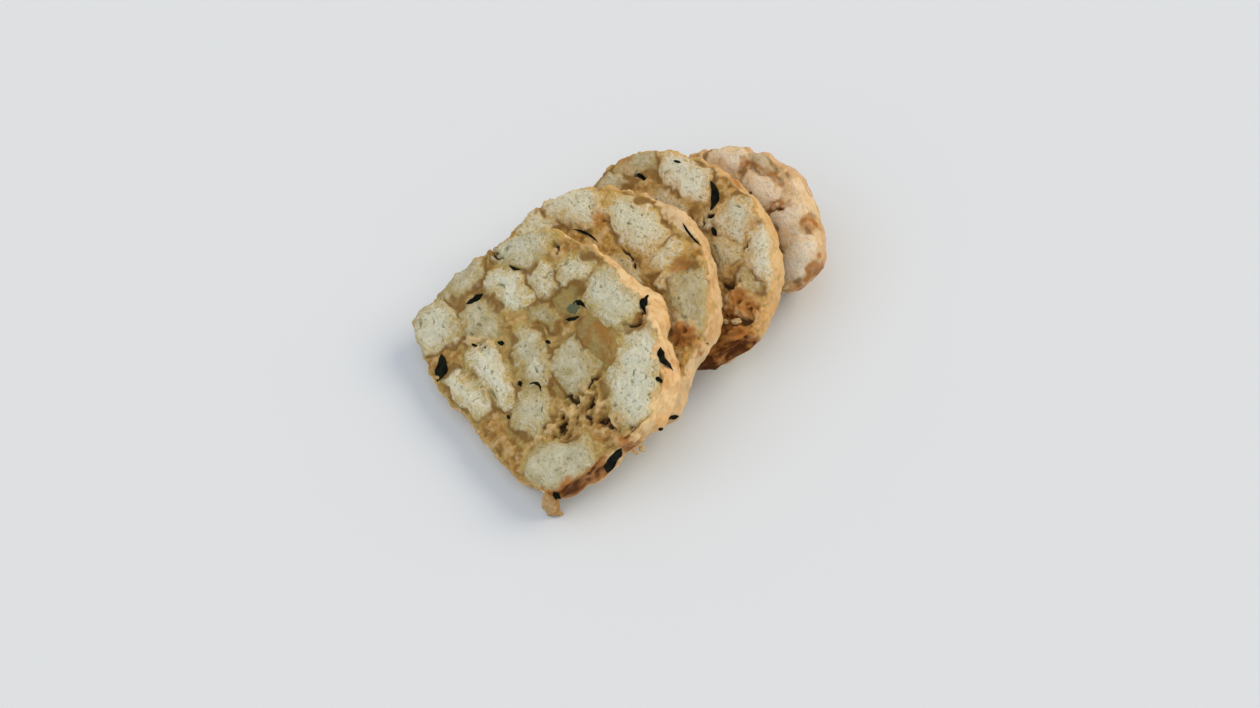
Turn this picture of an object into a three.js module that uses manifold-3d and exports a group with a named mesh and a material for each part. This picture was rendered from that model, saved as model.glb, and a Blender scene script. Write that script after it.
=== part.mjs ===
// A bread dumpling: a loaf of white bread cubes bound with egg, milk and herbs, boiled in a cloth and cut
// across. Three slices and the loaf's heel lean on one another in a row. Millimetres, +Z up. +X runs from the
// front slice to the heel, and the origin is on the floor under the middle of the row.

import * as THREE from 'three';
import { mergeVertices } from 'three/addons/utils/BufferGeometryUtils.js';
import { SimplexNoise } from 'three/addons/math/SimplexNoise.js';
import Module from 'manifold-3d';

// The cut face: bread cubes stand proud, the binder between them is sunk, and the crumb is uneven all over.
const CUBE_RISE = 0.4;
const SEAM_DEPTH = 0.6;
const CUBE_EDGE = 0.25;
const CUBE_SQUARENESS = 2.5;
const CUBE_WARP = 1.3;
const CUBE_WARP_LENGTH = 8;
const CRUMB_HEIGHT = 0.35;
const CRUMB_LENGTH = 4.5;

// Layers of the noise, one for each use on a cut face.
const WARP_ACROSS_LAYER = 3;
const WARP_UP_LAYER = 7;
const CRUMB_LAYER = 11;

// Cubes that no row below places are scattered on a loose grid.
const FILL_SPACING = 15;
const FILL_SHIFT = 3.5;
const FILL_HALF_SIZE = 5.2;
const FILL_SIZE_SPREAD = 1.6;
const FILL_CLEARANCE = 4;

// The cooked skin round the loaf: lumpy, with its cut edges rounded off.
const EDGE_ROUND = 2.2;
const SKIN_HEIGHT = 0.8;
const SKIN_LENGTH = 9;

// The loaf is widest at this share of its height. The heel's side is straight this far back, and then its end
// is round.
const WIDEST = 0.42;
const HEEL_SIDE = 3;

const FLOOR_BLOCK = 300;
const SEED = 41;
const DEGREE = Math.PI / 180;

// One row for each piece, front to back. "at" is the middle of the cut face's lower edge, "turn" the turn about
// Z and "lean" how far the slice leans back from upright. "crown" and "base" are the outline's squareness above
// and below its widest place, and "cells" the block's cells across, up and deep. Each cube is [across, up, half
// width, half height, turn], each crag [across, up, radius, depth], and each lump of the outline [degrees round
// it, half width, height at the front, height at the back].
const SLICES = [
  {
    name: 'slice_1', at: [-70.15, -3, 10.7], turn: -3, lean: 61.2, width: 91, height: 68, thickness: 13,
    crown: 2.35, base: 5.4, cells: [34, 26, 5], colour: '#c2b795',
    cubes: [
      [-36, 10.5, 7.5, 8, 0], [-41, 26, 4.5, 10, 0], [-31.5, 50, 8.5, 8.5, 20], [-26, 36, 9, 5.5, 12],
      [-27, 23, 6.5, 6.5, 0], [-19, 46.5, 5.5, 3.5, -28], [-15, 54.5, 4, 5, -30], [3, 59, 9.5, 6.5, -8],
      [31, 48, 14, 7.5, -38], [12.5, 37.5, 9, 5.5, -10], [1.5, 28, 9.5, 4.5, -14], [13.5, 17, 6.8, 6.5, 0],
      [-7, 14, 12, 4.5, -6], [-9, 4.5, 8.5, 3.5, 4], [35, 15, 12, 7.5, 55], [-18, 28.5, 5, 3.5, 0],
      [12, 48, 8.5, 4.5, 15],
    ],
    crags: [
      [25, 22.5, 2.4, 2.6], [20.5, 29.5, 2.6, 1.8], [31, 34, 2.6, 2.2], [36, 34.2, 2.6, 2],
      [-31.5, 25.5, 2.4, 1.4], [-15.5, 17.5, 2.4, 1.6], [22, 13, 2.4, 1.4],
    ],
    lumps: [
      [35, 16, 0, 2.2], [15, 4, 1.5, -3.5], [0, 8, -2.6, -2], [-22, 12, -1.4, -4.6], [-38, 7, -3.4, -3.4],
      [240, 22, 2.6, 1.8], [187, 6, 1.6, 0.8], [206, 8, 2.6, 1.6], [196, 4, -1.2, -1], [220, 6, -1.4, -1],
    ],
  },
  {
    name: 'slice_2', at: [-41.1, 5.7, 9.8], turn: -1.4, lean: 61.5, width: 88, height: 69.6, thickness: 12.5,
    crown: 1.8, base: 3.05, cells: [27, 21, 5], colour: '#c6b890',
    cubes: [
      [-32.5, 47.5, 9, 7, 30], [-9, 57, 12, 6, 0], [8, 55, 4.5, 5.5, 20], [27, 51, 12, 7.5, -32],
      [14, 63, 5, 2.6, -15],
    ],
    crags: [[2, 47.5, 2.4, 1.4], [37, 42, 2.6, 1]],
    lumps: [[150, 12, 0.8, 0.8], [14, 12, -2, -2.4], [-7, 8, 3.2, 4.2], [-38, 14, 1, 1.5]],
  },
  {
    name: 'slice_3', at: [-7.8, 6.9, 9.3], turn: 1.4, lean: 57.5, width: 83, height: 60.5, thickness: 12.5,
    crown: 2.15, base: 2.6, cells: [27, 21, 5], colour: '#c0ad88',
    cubes: [
      [-13, 48, 11, 6, 0], [12, 53, 6.5, 5.5, 0], [28, 48.5, 8.5, 5, -38], [14, 41.5, 4.5, 3, 0],
      [-33, 34, 6, 5, 20], [30, 34, 6, 4.5, -20],
    ],
    crags: [[36.5, 29.5, 2.6, 2.4], [33.5, 24, 2.6, 2.2], [1.5, 51.5, 2.4, 1.2], [24, 33, 2.4, 1.2]],
    lumps: [[-2, 12, 1.6, 2], [160, 9, 0.8, 0.8]],
  },
  {
    name: 'heel', at: [30.75, 4, 8], turn: 8.1, lean: 41.8, width: 64, height: 43.8, thickness: 28,
    crown: 1.8, base: 2.1, cells: [24, 18, 3], colour: '#cdb08a',
    cubes: [
      [2.5, 33.5, 7, 4, 0], [14, 31, 6, 5.5, 0], [26, 21, 5, 7.5, 10], [-15, 36, 6.5, 3.5, 25],
    ],
    crags: [[-7, 38, 2.2, 1], [9, 29, 2.2, 1]],
    lumps: [[75, 10, 1.2, 1.2]],
  },
];

const wasm = await Module();
wasm.setup();

THREE.MathUtils.seededRandom(SEED);
const random = () => THREE.MathUtils.seededRandom();
const noise = new SimplexNoise({ random });

// How far the outline reaches from its middle, at an angle counted from the right side upwards.
function outlineReach(slice, angle, level) {
  const across = Math.cos(angle);
  const up = Math.sin(angle);
  const middle = slice.height * WIDEST;
  const halfHeight = up >= 0 ? slice.height - middle : middle;
  const power = up >= 0 ? slice.crown : slice.base;
  const sum = Math.abs(across / (slice.width / 2)) ** power + Math.abs(up / halfHeight) ** power;
  let reach = sum ** (-1 / power);
  for (const [at, spread, front, back] of slice.lumps) {
    const off = THREE.MathUtils.euclideanModulo(angle / DEGREE - at + 180, 360) - 180;
    reach += THREE.MathUtils.lerp(front, back, level) * Math.exp(-((off / spread) ** 2));
  }
  return reach;
}

// Lumps of the skin, which run on from the front of the slice to its back.
function skinLump(slice, angle, depth) {
  const reach = slice.width / 2 / SKIN_LENGTH;
  return SKIN_HEIGHT * noise.noise3d(reach * Math.cos(angle), reach * Math.sin(angle), depth / SKIN_LENGTH);
}

// How much of its full reach the outline keeps where the edge rounds off towards a cut face.
function edgeShare(slice, toFace) {
  const short = Math.max(0, EDGE_ROUND - toFace);
  const inset = EDGE_ROUND - Math.sqrt(EDGE_ROUND ** 2 - short ** 2);
  return 1 - inset / (slice.width / 2);
}

// Share of the outline's reach and depth behind the cut face, for a point that lies "ring" of the way out from
// the middle of the block and "level" of the way from its front to its back.
function sliceSection(slice, ring, level) {
  const depth = slice.thickness * (0.5 - 0.5 * Math.cos(Math.PI * level));
  const toFace = Math.min(depth, slice.thickness - depth);
  return { share: ring * edgeShare(slice, toFace), depth };
}

// The heel has the same cut front and a round back, which ends the loaf.
function heelSection(slice, ring, level) {
  if (level < 1) {
    const depth = HEEL_SIDE * level;
    return { share: ring * edgeShare(slice, depth), depth };
  }
  const angle = ring * (Math.PI / 2);
  return { share: Math.sin(angle), depth: HEEL_SIDE + (slice.thickness - HEEL_SIDE) * Math.cos(angle) };
}

// Cubes for the parts of a face that no row places, kept clear of the placed ones.
function scatteredCubes(slice, placed) {
  const cubes = [];
  const shift = () => (random() * 2 - 1) * FILL_SHIFT;
  const half = () => FILL_HALF_SIZE + (random() * 2 - 1) * FILL_SIZE_SPREAD;
  for (let h = FILL_SPACING / 2; h < slice.height; h += FILL_SPACING) {
    for (let u = -slice.width / 2; u <= slice.width / 2; u += FILL_SPACING) {
      const cube = [u + shift(), h + shift(), half(), half(), random() * 180];
      const crowded = placed.some(([placedU, placedH, halfWidth, halfHeight]) => {
        const apart = Math.hypot(cube[0] - placedU, cube[1] - placedH);
        return apart < Math.max(halfWidth, halfHeight) + FILL_CLEARANCE;
      });
      if (!crowded) cubes.push(cube);
    }
  }
  return cubes;
}

// 1 on a bread cube and 0 in the binder, with a soft and slightly wavy border.
function cubeShare(cubes, u, h) {
  const warp = (layer) => CUBE_WARP * noise.noise3d(u / CUBE_WARP_LENGTH, h / CUBE_WARP_LENGTH, layer);
  const [wavyU, wavyH] = [u + warp(WARP_ACROSS_LAYER), h + warp(WARP_UP_LAYER)];
  let share = 0;
  for (const [cubeU, cubeH, halfWidth, halfHeight, turn] of cubes) {
    const [c, s] = [Math.cos(turn * DEGREE), Math.sin(turn * DEGREE)];
    const along = Math.abs(c * (wavyU - cubeU) + s * (wavyH - cubeH)) / halfWidth;
    const over = Math.abs(c * (wavyH - cubeH) - s * (wavyU - cubeU)) / halfHeight;
    const out = (along ** CUBE_SQUARENESS + over ** CUBE_SQUARENESS) ** (1 / CUBE_SQUARENESS);
    share = Math.max(share, 1 - THREE.MathUtils.smoothstep(out, 1 - CUBE_EDGE, 1 + CUBE_EDGE));
  }
  return share;
}

// Height of a cut face over its plane.
function cutRelief(cubes, crags, u, h) {
  let height = (CUBE_RISE + SEAM_DEPTH) * cubeShare(cubes, u, h) - SEAM_DEPTH;
  height += CRUMB_HEIGHT * noise.noise3d(u / CRUMB_LENGTH, h / CRUMB_LENGTH, CRUMB_LAYER);
  for (const [cragU, cragH, radius, depth] of crags) {
    height -= depth * Math.exp(-((u - cragU) ** 2 + (h - cragH) ** 2) / radius ** 2);
  }
  return height;
}

// A block of small cells, bent from a square to the loaf's outline. X is across the slice, Y up it and Z out of
// its cut face, which lies at Z = 0.
function sliceBlock(slice) {
  const isHeel = slice.name === 'heel';
  const section = isHeel ? heelSection : sliceSection;
  const block = new THREE.BoxGeometry(2, 2, 1, ...slice.cells);
  const frontCubes = [...slice.cubes, ...scatteredCubes(slice, slice.cubes)];
  const backCubes = scatteredCubes(slice, []);
  const place = block.attributes.position;
  for (let i = 0; i < place.count; i += 1) {
    const [x, y] = [place.getX(i), place.getY(i)];
    const level = 0.5 - place.getZ(i);
    const roundX = x * Math.sqrt(1 - y ** 2 / 2);
    const roundY = y * Math.sqrt(1 - x ** 2 / 2);
    const ring = Math.hypot(roundX, roundY);
    const angle = Math.atan2(roundY * slice.height, roundX * slice.width);
    const { share, depth } = section(slice, ring, level);
    const reach = share * (outlineReach(slice, angle, level) + share * skinLump(slice, angle, depth));
    const u = reach * Math.cos(angle);
    const h = slice.height * WIDEST + reach * Math.sin(angle);
    let relief = 0;
    if (level === 0) relief = cutRelief(frontCubes, slice.crags, u, h);
    if (level === 1 && !isHeel) relief = -cutRelief(backCubes, [], u, h);
    place.setXYZ(i, u, h, relief - depth);
  }
  return block;
}

// A slice's place in the row: turned about Z and leaning back towards +X.
function slicePose({ at, turn, lean }) {
  const up = new THREE.Vector3(0, 0, 1);
  const along = new THREE.Vector3(1, 0, 0).applyAxisAngle(up, turn * DEGREE);
  const across = new THREE.Vector3(0, -1, 0).applyAxisAngle(up, turn * DEGREE);
  const rise = up.clone().applyAxisAngle(across, -lean * DEGREE);
  const out = along.clone().negate().applyAxisAngle(across, -lean * DEGREE);
  return new THREE.Matrix4().makeBasis(across, rise, out).setPosition(...at);
}

// A solid of a closed geometry, with its shared vertices merged.
function solidOf(geometry) {
  const bare = geometry.clone();
  bare.deleteAttribute('normal');
  bare.deleteAttribute('uv');
  const merged = mergeVertices(bare);
  const vertProperties = new Float32Array(merged.attributes.position.array);
  const triVerts = new Uint32Array(merged.index.array);
  return new wasm.Manifold(new wasm.Mesh({ numProp: 3, vertProperties, triVerts }));
}

function geometryOf(solid) {
  const { vertProperties, triVerts } = solid.getMesh();
  const geometry = new THREE.BufferGeometry();
  geometry.setAttribute('position', new THREE.BufferAttribute(new Float32Array(vertProperties), 3));
  geometry.setIndex(new THREE.BufferAttribute(new Uint32Array(triVerts), 1));
  geometry.computeVertexNormals();
  return geometry;
}

// One slice in its place, its lower edge cut flat where it rests on the floor.
function sliceMesh(slice) {
  const pose = slicePose(slice);
  const floor = new THREE.BoxGeometry(FLOOR_BLOCK, FLOOR_BLOCK, FLOOR_BLOCK);
  floor.translate(0, 0, -FLOOR_BLOCK / 2);
  floor.applyMatrix4(pose.clone().invert());
  const geometry = geometryOf(solidOf(sliceBlock(slice)).subtract(solidOf(floor)));
  const material = new THREE.MeshStandardMaterial({ color: slice.colour, roughness: 0.8, metalness: 0 });
  const mesh = new THREE.Mesh(geometry, material);
  mesh.name = slice.name;
  mesh.applyMatrix4(pose);
  return mesh;
}

const dumpling = new THREE.Group();
dumpling.name = 'bread_dumpling';
for (const slice of SLICES) dumpling.add(sliceMesh(slice));

export default dumpling;
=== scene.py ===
import math
import random
from types import SimpleNamespace

import bpy
import numpy as np
from mathutils import Matrix, Vector, noise


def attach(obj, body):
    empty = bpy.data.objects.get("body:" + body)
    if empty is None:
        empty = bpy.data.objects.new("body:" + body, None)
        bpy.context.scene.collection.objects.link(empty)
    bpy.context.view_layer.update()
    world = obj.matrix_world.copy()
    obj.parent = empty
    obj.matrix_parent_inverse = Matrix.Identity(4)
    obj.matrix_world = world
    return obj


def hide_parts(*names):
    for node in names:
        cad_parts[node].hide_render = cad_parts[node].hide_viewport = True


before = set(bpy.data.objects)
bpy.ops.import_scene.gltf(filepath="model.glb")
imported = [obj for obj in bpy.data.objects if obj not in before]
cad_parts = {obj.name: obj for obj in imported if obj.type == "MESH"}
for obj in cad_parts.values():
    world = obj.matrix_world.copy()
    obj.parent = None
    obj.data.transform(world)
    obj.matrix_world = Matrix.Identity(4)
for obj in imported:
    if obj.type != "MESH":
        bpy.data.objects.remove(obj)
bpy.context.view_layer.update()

# The front slice, cut across the boiled loaf. White bread cubes, some with their crust still on, lie in a
# tan binder of egg, milk and soaked crumbs. The loaf was cooked in a cloth, which left a thin smooth skin
# round it. The slice leans back on the second one.

MM = 0.001
FRONT_AT = (-70.15, -3, 10.7)
FRONT_TURN = -3
FRONT_LEAN = 61.2
FRONT_WIDTH = 91
FRONT_HEIGHT = 68
FRONT_BACK_SEED = 3
# How strong the crumb's relief is, and how strongly the painted shade in its pores shows.
FRONT_COARSE = 1
FRONT_PITTED = 1
FRONT_COLOURS = {
    "cube middle": "#d6d5ba", "cube edge": "#bca158", "binder": "#b09054", "dark binder": "#866228",
    "pale skin": "#e8cb98", "golden skin": "#dcac70", "rim": "#c8aa68",
}
# Bread cubes in the cut: across and up the face, half width, half height, turn and how browned.
FRONT_CUBES = [
    (-36, 11, 9.5, 9.5, 0, 0.18), (-43.5, 25.5, 7.5, 10.5, -8, 0.3), (-36.5, 48.5, 11, 9, 15, 0.24),
    (-27, 36.5, 10.8, 6, 14, 0), (-25.8, 22.5, 9, 7.4, -5, 0.3), (-21, 46.2, 7.8, 5, -12, 0.08),
    (-15.5, 56, 5, 7.5, -20, 0.15), (2, 60, 13, 8, -5, 0.2), (29, 50.3, 17, 9.4, -40, 0.1),
    (11, 37.5, 10.4, 7, -14, 0.3), (-0.5, 28.6, 12, 5.8, -14, 0.28), (12.9, 17.6, 8.8, 7.6, 4, 0.26),
    (-6.6, 14.6, 14.4, 5.9, -4, 0.06), (-8.5, 4.8, 11, 5, 2, 0.06), (35, 15.3, 13, 8, 60, 0.28),
    (11, 48.6, 10.5, 5.4, 8, 0.95), (-8.5, 47.6, 6, 4.6, 0, 0.75), (-11, 40.5, 6, 3.6, 10, 0.4),
]
# Torn, crumbly places in the cut: across, up, half width, half height and turn.
FRONT_TORN = [
    (29, 34.5, 10, 4.5, 10), (23.5, 26, 4.5, 6, 0), (22.5, 17.5, 2.5, 5, 0), (44.5, 36, 5, 3, 0),
    (-20, 18.2, 7, 1.7, 32),
]
# Slits and small holes: across, up, half length, half width and turn.
FRONT_SLITS = [
    (34, 34.5, 4, 1.1, -5), (19.5, 29.8, 2.6, 0.8, 15), (24, 22.5, 0.9, 2.2, 0), (28, 31, 1.6, 0.8, 30),
    (-20, 52.5, 0.6, 4, -10), (14.6, 60, 0.6, 3, -25), (20.5, 38, 0.7, 4, 10), (-26, 57, 2, 0.6, -15),
    (45, 39.5, 3.5, 0.9, 10), (-42, 40.2, 5, 0.6, 4), (12.5, 66, 4, 1, -40),
]
# Browned places: across, up, half width, half height and how brown.
FRONT_BROWNED = [
    (46.5, 20, 4, 10, 1.4), (44, 10, 4.6, 8, 1.4), (41.5, 5, 5, 4, 1), (45, 34, 6, 3.6, 0.7),
    (46, 40, 2.4, 2, 0.6), (9, 4.5, 10, 3.5, 0.35), (-45.5, 40, 3, 2.6, 0.9), (22, 18, 4, 6, 0.3),
    (47, 28, 3, 5, 0.5), (30, 61.5, 8, 3, 0.3), (16, 69, 8, 4, 0.25), (0, 68.5, 12, 4, 0.2),
    (18, 62.5, 5, 1.4, 0.5),
]
# Where skin laps onto the cut: across, up, half width, half height and how far.
FRONT_LAPPED = [
    (-3, 69, 14, 4.6, 1.9), (17, 69, 9, 6.2, 2.2), (31, 61, 9, 4.4, 1.7), (42, 54, 5, 6, 1.05),
    (47, 41, 5, 12, 0.9), (47, 17, 4, 12, 0.8), (-36, 60, 4, 2, 1), (44, 34, 4, 2.5, 1),
    (40, 50, 3.4, 4, 1.1),
]
# Folds of the skin that stand out, and dents where it is torn off: across, up, out, half sizes and height.
FRONT_BULGES = [
    (12, 69.5, -9, 8, 6, 5, 5), (21.5, 65, -10, 3, 3, 6, -1.2), (-36.5, 58.5, -3, 5, 5, 6, 2.8),
    (-27, 62.5, -4, 4, 3, 8, -1.2), (45, 33, -9, 6, 4, 6, -2.4), (48, 17, -6, 6, 9, 9, -3.6),
]


def cut_pose(at, turn, lean):
    """A cut face's place in the part's frame, from X across it, Y up it and Z out of it in millimetres."""
    turned = Matrix.Rotation(math.radians(turn), 4, "Z")
    leaning = Matrix.Rotation(math.radians(lean), 4, "Y")
    face = Matrix(((0, 0, -1, 0), (-1, 0, 0, 0), (0, 1, 0, 0), (0, 0, 0, 1)))
    return Matrix.Scale(MM, 4) @ Matrix.Translation(at) @ turned @ leaning @ face


def select_only(piece):
    """Selects a piece alone and makes it active."""
    bpy.ops.object.select_all(action="DESELECT")
    piece.select_set(True)
    bpy.context.view_layer.objects.active = piece


def apply_modifier(piece, kind, **settings):
    """Adds a modifier with its settings and applies it."""
    select_only(piece)
    modifier = piece.modifiers.new(kind.title(), kind)
    for name, value in settings.items():
        setattr(modifier, name, value)
    bpy.ops.object.modifier_apply(modifier=modifier.name)


MERGE_WITHIN = 0.01 * MM
VOXEL = 0.7 * MM
ROUNDING_PASSES = 9
# A face belongs to the cut if its normal has more than this share of the cut's direction.
CUT_FACING = 0.1


def refine_cut(piece, pose):
    """Splits the faces of the cut once more, so that it takes finer relief than the back."""
    bpy.ops.object.mode_set(mode="EDIT")
    bpy.ops.mesh.select_all(action="DESELECT")
    bpy.ops.object.mode_set(mode="OBJECT")
    out = pose.to_3x3().normalized().col[2]
    for polygon in piece.data.polygons:
        polygon.select = polygon.normal.dot(out) > CUT_FACING
    bpy.ops.object.mode_set(mode="EDIT")
    bpy.ops.mesh.subdivide(number_cuts=1)
    bpy.ops.object.mode_set(mode="OBJECT")


def slice_copy(node, name, pose):
    """A copy of a node with its doubles merged, rounded and given a fine mesh, finest on its cut face."""
    piece = bpy.data.objects.new(name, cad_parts[node].data.copy())
    bpy.context.scene.collection.objects.link(piece)
    select_only(piece)
    bpy.ops.object.mode_set(mode="EDIT")
    bpy.ops.mesh.select_mode(type="FACE")
    bpy.ops.mesh.select_all(action="SELECT")
    bpy.ops.mesh.remove_doubles(threshold=MERGE_WITHIN)
    bpy.ops.object.mode_set(mode="OBJECT")
    apply_modifier(piece, "SUBSURF", levels=2, render_levels=2)
    apply_modifier(piece, "REMESH", mode="VOXEL", voxel_size=VOXEL)
    apply_modifier(piece, "SMOOTH", factor=0.5, iterations=ROUNDING_PASSES)
    refine_cut(piece, pose)
    piece.data.materials.clear()
    bpy.ops.object.shade_smooth()
    return piece


def smooth_step(low, high, value):
    """A share that goes smoothly from 0 at one value to 1 at another."""
    share = np.clip((value - low) / (high - low), 0, 1)
    return share * share * (3 - 2 * share)


def layer_shift(layer):
    """A step through the noise that keeps a layer's pattern apart from the other layers'."""
    return Vector((layer * 13.7, layer * 5.1, layer * 7.3))


def waves(place, length, layer):
    """Smooth noise from about -0.6 to 0.6 at each place, of a wave length in millimetres."""
    shift = layer_shift(layer)
    return np.array([noise.noise(Vector(p) / length + shift) for p in place])


def holes(place, spacing, widest, layer):
    """Round holes of mixed sizes at a spacing in millimetres: 1 in a hole's middle and 0 between holes."""
    shift = layer_shift(layer)
    depth = np.empty(len(place))
    for number, p in enumerate(place):
        distances, middles = noise.voronoi(Vector(p) / spacing + shift)
        own_size = noise.cell(middles[0] * 9)
        radius = widest * (0.6 + 0.4 * own_size)
        depth[number] = 1 - distances[0] / radius
    return np.clip(depth, 0, 1)


def ragged(place, length, amount, layer):
    """Places pushed about in the cut's plane, so that what is drawn there gets an uneven edge."""
    pushed = place.copy()
    pushed[:, 0] += amount * waves(place, length, layer)
    pushed[:, 1] += amount * waves(place, length, layer + 1)
    return pushed


def turned_offsets(place, across, up, turn):
    """Offsets from a point of the cut along and over a direction turned in its plane."""
    c = math.cos(math.radians(turn))
    s = math.sin(math.radians(turn))
    right = place[:, 0] - across
    above = place[:, 1] - up
    return c * right + s * above, c * above - s * right


def ovals(patches, place):
    """The highest of some soft ovals, blunt at their ends: across, up, half width, half height, turn."""
    mask = np.zeros(len(place))
    for across, up, half_width, half_height, turn in patches:
        along, over = turned_offsets(place, across, up, turn)
        mask = np.maximum(mask, np.exp(-((along / half_width) ** 4) - (over / half_height) ** 2))
    return mask


def soft_patches(patches, place, sharpness):
    """The strongest of some soft patches at each place: across, up, half width, half height, amount."""
    mask = np.zeros(len(place))
    for across, up, half_width, half_height, amount in patches:
        off = ((place[:, 0] - across) / half_width) ** 2 + ((place[:, 1] - up) / half_height) ** 2
        patch = amount * np.exp(-(off ** sharpness))
        mask = np.where(np.abs(patch) > np.abs(mask), patch, mask)
    return mask


def swelling(bulges, place):
    """How far folds and dents of the skin stand out, in millimetres."""
    height = np.zeros(len(place))
    for bulge in bulges:
        off = np.square((place - bulge[:3]) / bulge[3:6]).sum(axis=1)
        height += bulge[6] * np.exp(-off)
    return height


# Facing is 1 where the bread looks straight out of the cut, 0 at its sides and -1 at its back. Each pair is
# where something begins or ends, and where it is fully there or gone.
EDGE_ENDS = (0.55, 0.95)
BACK_CUT_BEGINS = (0.45, 0.8)
TORN_BEGINS = (0.3, 0.7)
SLITS_BEGIN = (0.1, 0.4)
BROWNING_BEGINS = (-0.5, -0.15)
BULGES_END = (0.7, 1)


def read_bread(piece, pose):
    """A record of a piece's vertices in its cut's frame: their places in millimetres and their facing."""
    count = len(piece.data.vertices)
    place = np.empty(count * 3)
    normal = np.empty(count * 3)
    piece.data.vertices.foreach_get("co", place)
    piece.data.vertex_normals.foreach_get("vector", normal)
    back = np.array(pose.inverted())
    turn = np.array(pose.to_3x3().normalized())
    bread = SimpleNamespace()
    bread.place = place.reshape(-1, 3) @ back[:3, :3].T + back[:3, 3]
    bread.facing = (normal.reshape(-1, 3) @ turn)[:, 2]
    bread.uneven = ragged(bread.place, length=1.8, amount=1.6, layer=9)
    bread.edge = 1 - smooth_step(*EDGE_ENDS, np.abs(bread.facing))
    return bread


CUBE_SQUARENESS = 2.6
FIBRE_STRETCH = 1.7
# How far apart two cubes' fibres are drawn from the noise, in millimetres.
FIBRE_STEP = 20
# The depth that stands for no cube near, and the share of a cube's size that counts as its very middle.
NO_CUBE = -30.0
CUBE_MIDDLE = 0.01


def cube_fields(cubes, place):
    """Each place's depth in a cube, less than 0 between cubes, its browning and its place in the fibres."""
    pushed = ragged(place, length=6, amount=2.4, layer=1)
    pushed = ragged(pushed, length=2, amount=1.2, layer=3)
    first = np.full(len(place), NO_CUBE)
    second = first.copy()
    tone = np.zeros(len(place))
    fibre = place.copy()
    for number, (across, up, half_width, half_height, turn, browned) in enumerate(cubes):
        along, over = turned_offsets(pushed, across, up, turn)
        share = np.abs(along / half_width) ** CUBE_SQUARENESS
        share += np.abs(over / half_height) ** CUBE_SQUARENESS
        share = np.maximum(share ** (1 / CUBE_SQUARENESS), CUBE_MIDDLE)
        inside = np.hypot(along, over) * (1 / share - 1)
        deeper = inside > first
        second = np.where(deeper, first, np.maximum(second, inside))
        first = np.where(deeper, inside, first)
        tone[deeper] = browned
        layers = np.stack([along / FIBRE_STRETCH, over, place[:, 2] + FIBRE_STEP * number], axis=1)
        fibre[deeper] = layers[deeper]
    return np.minimum(first, (first - second) / 2), tone, fibre


def set_cubes(bread, cubes, back_cubes):
    """Sets bread cubes into the cut, and others into the back where that is a cut too."""
    bread.inside, bread.tone, bread.fibre = cube_fields(cubes, bread.place)
    if back_cubes:
        inside, tone, fibre = cube_fields(back_cubes, bread.place)
        front = bread.facing > 0
        bread.inside = np.where(front, bread.inside, inside)
        bread.tone = np.where(front, bread.tone, tone)
        bread.fibre = np.where(front[:, None], bread.fibre, fibre)


# Skin starts at a facing, laps bring it farther onto the cut, and it fades in to both sides of its edge.
SKIN_ONSET = 0.05
LAP_REACH = 0.8
SKIN_FADE = 0.25


def grow_skin(bread, lapped, cut_behind):
    """Covers the sides with skin, and the back too unless that is a cut."""
    onset = SKIN_ONSET + LAP_REACH * soft_patches(lapped, bread.uneven, sharpness=1)
    uneven_facing = bread.facing + 0.4 * waves(bread.place, 3, 10) + 0.3 * waves(bread.place, 1.2, 25)
    bread.skin = smooth_step(onset + SKIN_FADE, onset - SKIN_FADE, uneven_facing)
    if cut_behind:
        bread.skin *= 1 - smooth_step(*BACK_CUT_BEGINS, -bread.facing)
    bread.cut = 1 - bread.skin


# How deep in a cube its crumb and its pores begin, and the binder ends, in millimetres.
CRUMB_BEGINS = (-1.5, 1.0)
PORES_BEGIN = (0, 2.5)
BINDER_ENDS = (-1, 3)
# A seam's half width and how far outside a cube it runs, in millimetres.
SEAM_WIDTH = 1.2
SEAM_OUT = 0.3
# Threads run where the noise is near 0, within this.
THREAD_WIDTH = 0.14


def open_crumb(bread):
    """Opens the cubes' pores, draws their threads and seams, and lays lumps in the binder."""
    bread.crumb = smooth_step(*CRUMB_BEGINS, bread.inside)
    large_pores = holes(bread.fibre, spacing=2.9, widest=0.32, layer=5)
    small_pores = holes(bread.fibre, spacing=1.9, widest=0.3, layer=6)
    bread.pores = np.maximum(large_pores, 0.7 * small_pores)
    bread.pores *= 0.4 + 0.6 * smooth_step(*PORES_BEGIN, bread.inside)
    bread.threads = np.exp(-np.square(waves(bread.fibre, 1.3, 7) / THREAD_WIDTH)) * bread.crumb
    bread.seam = np.exp(-np.square((bread.inside + SEAM_OUT) / SEAM_WIDTH))
    bread.seam *= smooth_step(-0.4, 0.3, waves(bread.place, 6, 18))
    bread.lumps = waves(bread.place, 3.2, 11) + 0.5 * waves(bread.place, 1.4, 12)


def tear_cut(bread, torn_places, slits):
    """Makes torn places craggy, and hollow between their crags and in the slits."""
    bread.crags = ovals(torn_places, bread.uneven) * smooth_step(*TORN_BEGINS, bread.facing)
    torn = np.clip(bread.crags * smooth_step(0.26, 0.5, bread.lumps) * 1.2, 0, 1)
    slit = ovals(slits, bread.uneven) * smooth_step(*SLITS_BEGIN, bread.facing)
    bread.hollow = np.maximum(torn, slit)


# Browned streaks: their turn in the cut's plane, and how many times longer than wide they are.
STREAK_TURN = 55
STREAK_STRETCH = 3


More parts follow.
